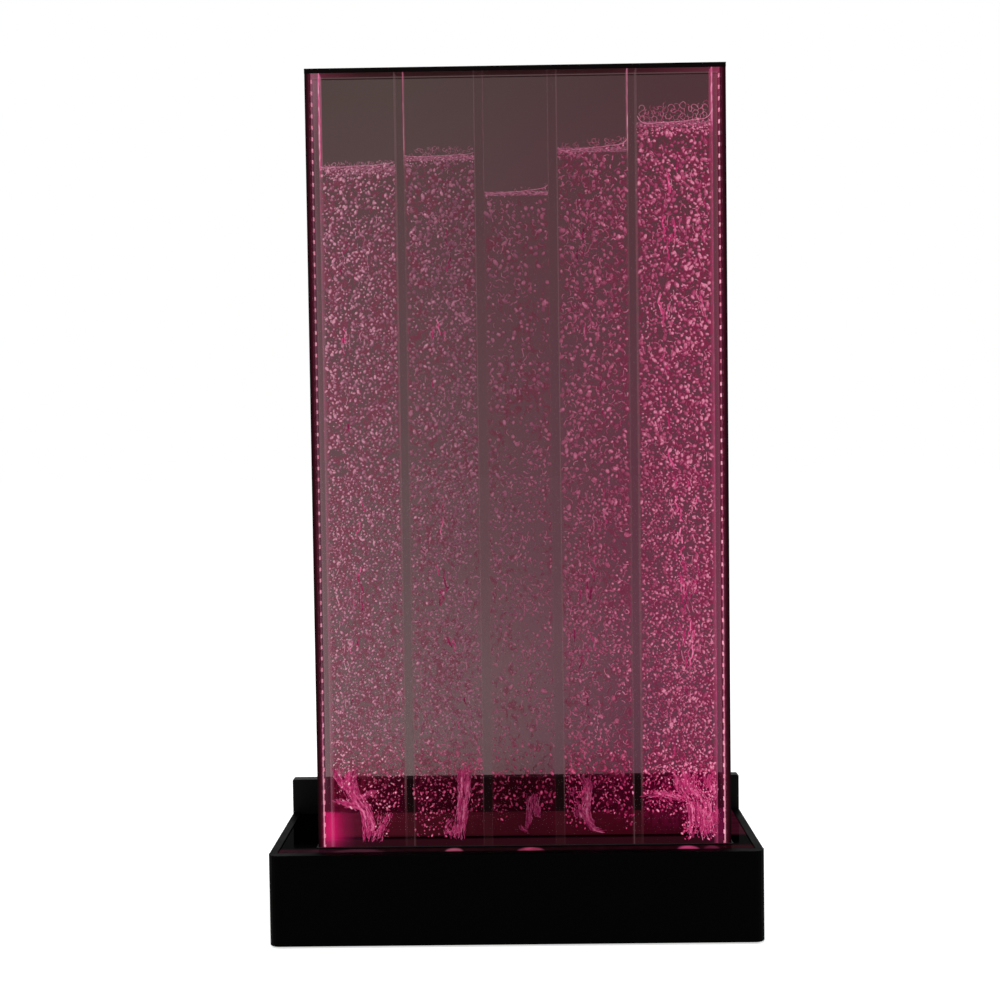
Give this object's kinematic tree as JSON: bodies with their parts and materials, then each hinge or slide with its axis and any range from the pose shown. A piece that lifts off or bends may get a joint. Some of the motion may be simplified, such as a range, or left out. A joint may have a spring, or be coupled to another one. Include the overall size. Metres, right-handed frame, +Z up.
{
  "type": "bubble wall panel",
  "caption": "Free-standing lit bubble wall: flat clear tank of vertical water channels with edge LED strips and lift-off cap, in a low black base with air pump and rear service bay.",
  "frame": {"origin": "on the floor, under the centre of the whole object's outline, which is the centre of the base", "axes": "+Z up, +Y to the rear, so that the front face looks along -Y"},
  "size_m": [0.72, 0.26, 1.274],
  "materials": {
    "black_board": "satin black lacquer on board",
    "gloss_deck": "polished black acrylic",
    "clear_acrylic": "clear polished acrylic",
    "smoked_acrylic": "smoked acrylic",
    "water": "water with fine air bubbles",
    "black_aluminium": "satin black anodised",
    "black_rubber": "matte",
    "black_plastic": "fine moulded texture",
    "grey_plastic": "moulded grey",
    "red_plastic": "moulded red",
    "led_strip": "white solder mask with LEDs lit pink",
    "silicone": "milky silicone",
    "wire": "black wire sleeve",
    "brass": "satin brass",
    "steel": "zinc plated"
  },
  "bodies": {
    "base": {"front_board": "black_board", "left_side_board": "black_board", "right_side_board": "black_board", "rear_board": "black_board", "bottom_plate": "black_board", "rubber_foot_front": "black_rubber", "rubber_foot_rear": "black_rubber", "deck_plate": "gloss_deck", "slot_gasket": "black_rubber", "tank_cradle_left": "black_plastic", "tank_cradle_right": "black_plastic", "front_sheet": "clear_acrylic", "rear_sheet": "smoked_acrylic", "left_side_bar": "clear_acrylic", "right_side_bar": "clear_acrylic", "divider_1": "clear_acrylic", "divider_2": "clear_acrylic", "divider_3": "clear_acrylic", "divider_4": "clear_acrylic", "tank_floor": "black_plastic", "water": "water", "left_edge_trim": "black_aluminium", "right_edge_trim": "black_aluminium", "left_led_strip": "led_strip", "right_led_strip": "led_strip", "air_nozzle_1": "black_plastic", "air_nozzle_2": "black_plastic", "air_nozzle_3": "black_plastic", "air_nozzle_4": "black_plastic", "air_nozzle_5": "black_plastic", "drain_elbow": "black_plastic", "air_hose_1": "silicone", "air_hose_2": "silicone", "air_hose_3": "silicone", "air_hose_4": "silicone", "air_hose_5": "silicone", "gang_valve": "grey_plastic", "air_pump": "grey_plastic", "pump_hose": "silicone", "led_controller": "black_plastic", "led_lead_left": "wire", "led_lead_right": "wire", "inlet_lead": "wire", "switch_lead": "wire", "pump_lead": "wire", "service_plate": "black_plastic", "plate_screw_left": "steel", "plate_screw_right": "steel", "rocker_frame": "black_plastic", "power_inlet": "black_plastic", "drain_valve": "brass", "drain_hose": "silicone"},
    "cap": {"top_cap": "black_aluminium"},
    "switch_rocker": {"rocker": "black_plastic"},
    "drain_handle": {"drain_lever": "red_plastic"},
    "flow_handle_1": {"flow_lever_1": "red_plastic"},
    "flow_handle_2": {"flow_lever_2": "red_plastic"},
    "flow_handle_3": {"flow_lever_3": "red_plastic"},
    "flow_handle_4": {"flow_lever_4": "red_plastic"},
    "flow_handle_5": {"flow_lever_5": "red_plastic"}
  },
  "joints": [
    {"name": "cap_lift", "type": "slide", "parent": "base", "child": "cap", "axis": [0, 0, 1], "range_m": [0, 0.06]},
    {"name": "rocker_tilt", "type": "hinge", "parent": "base", "child": "switch_rocker", "pos_m": [0.062, 0.1119, 0.064], "axis": [1, 0, 0], "range_deg": [-16, 0]},
    {"name": "drain_turn", "type": "hinge", "parent": "base", "child": "drain_handle", "pos_m": [-0.092, 0.1263, 0.064], "axis": [0, 1, 0], "range_deg": [0, 90]},
    {"name": "flow_turn_1", "type": "hinge", "parent": "base", "child": "flow_handle_1", "pos_m": [-0.031, 0.038, 0.0403], "axis": [0, 0, 1], "range_deg": [0, 90]},
    {"name": "flow_turn_2", "type": "hinge", "parent": "base", "child": "flow_handle_2", "pos_m": [-0.009, 0.038, 0.0403], "axis": [0, 0, 1], "range_deg": [0, 90]},
    {"name": "flow_turn_3", "type": "hinge", "parent": "base", "child": "flow_handle_3", "pos_m": [0.013, 0.038, 0.0403], "axis": [0, 0, 1], "range_deg": [0, 90]},
    {"name": "flow_turn_4", "type": "hinge", "parent": "base", "child": "flow_handle_4", "pos_m": [0.035, 0.038, 0.0403], "axis": [0, 0, 1], "range_deg": [0, 90]},
    {"name": "flow_turn_5", "type": "hinge", "parent": "base", "child": "flow_handle_5", "pos_m": [0.057, 0.038, 0.0403], "axis": [0, 0, 1], "range_deg": [0, 90]}
  ]
}
